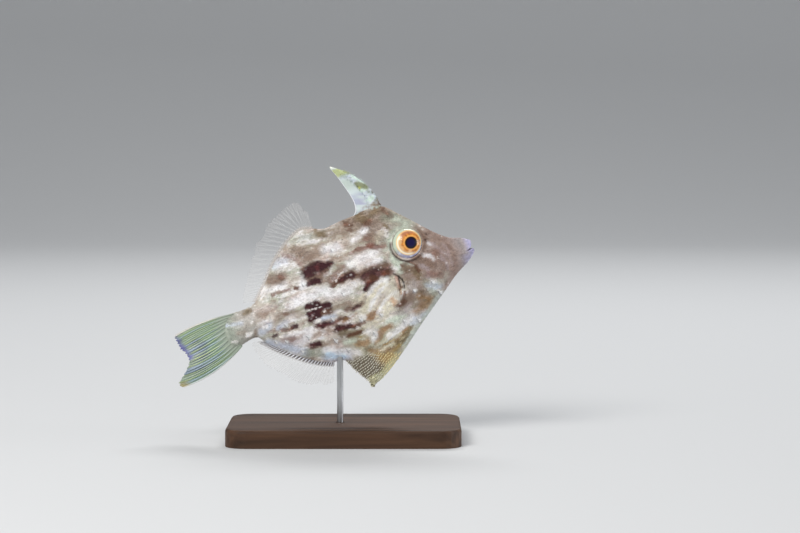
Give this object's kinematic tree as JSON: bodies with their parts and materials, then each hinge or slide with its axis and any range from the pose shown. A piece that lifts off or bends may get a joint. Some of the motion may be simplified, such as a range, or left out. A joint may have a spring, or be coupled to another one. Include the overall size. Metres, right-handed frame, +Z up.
{
  "type": "filefish display model",
  "caption": "Life-size young filefish with raised dorsal spine, ventral flap and rayed fins, nose up on a rod and base.",
  "frame": {"origin": "centre of the underside of the stand's base", "axes": "+X towards the snout, +Y towards the fish's left side, +Z up"},
  "size_m": [0.0856, 0.038, 0.0775],
  "materials": {
    "skin": "rough mottled skin, pinkish cream with dark brown blotches",
    "lip": "smooth pale lilac",
    "eye": "wet gloss, orange iris round a dark pupil",
    "spine": "rough pale green-white",
    "fin": "thin translucent membrane with yellow-green rays",
    "base": "satin dark wood",
    "rod": "brushed"
  },
  "bodies": {
    "root": {"head": "skin", "trunk": "skin", "ventral_flap": "skin", "tail_stalk": "skin", "lip_upper": "lip", "lip_lower": "lip", "eye_right": "eye", "eye_left": "eye", "dorsal_spine": "spine", "dorsal_spine_web": "fin", "pelvic_spine": "spine", "soft_dorsal_fin": "fin", "anal_fin": "fin", "tail_fin": "fin", "pectoral_fin_right": "fin", "pectoral_fin_left": "fin", "stand_base": "base", "stand_rod": "rod"}
  },
  "joints": []
}
